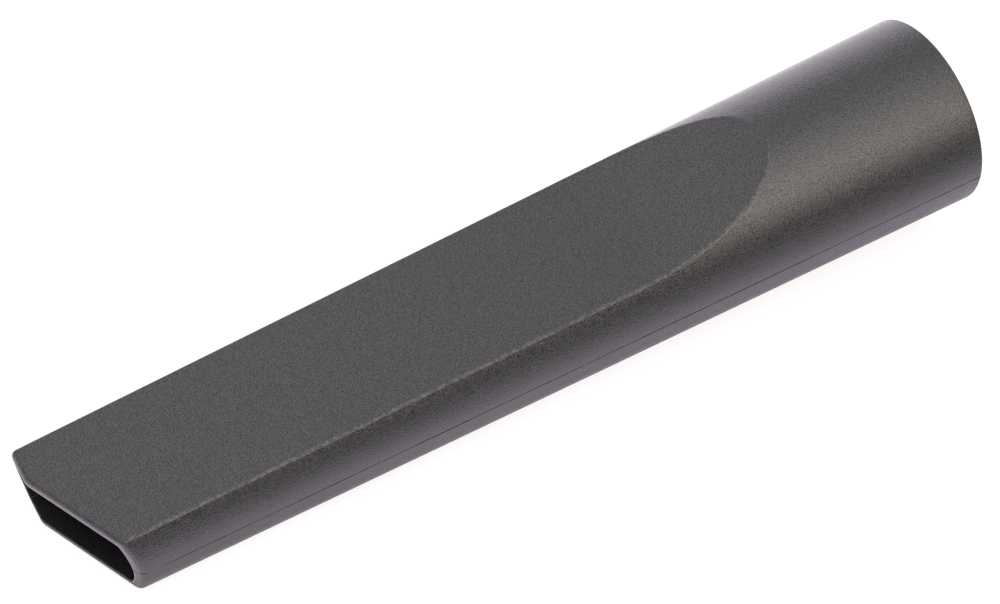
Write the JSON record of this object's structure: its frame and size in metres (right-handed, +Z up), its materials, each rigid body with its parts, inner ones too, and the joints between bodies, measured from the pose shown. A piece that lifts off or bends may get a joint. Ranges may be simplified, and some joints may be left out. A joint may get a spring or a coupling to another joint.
{
  "type": "vacuum crevice nozzle",
  "caption": "Long flattened suction nozzle with a round push-fit socket at one end and an angled narrow mouth at the other, for reaching into gaps.",
  "frame": {"origin": "centre of the bounding box in X and Y, on the surface that the nozzle lies on", "axes": "+Y along the duct towards the round socket, +X across the duct towards the side where the mouth is set back, +Z up with the nozzle lying on its socket and the lower edge of its nose"},
  "size_m": [0.039, 0.1908, 0.0409],
  "materials": {
    "charcoal_plastic": "fine leather grain, semi-matt, charcoal grey"
  },
  "bodies": {
    "root": {"nozzle_body": "charcoal_plastic"}
  },
  "joints": []
}
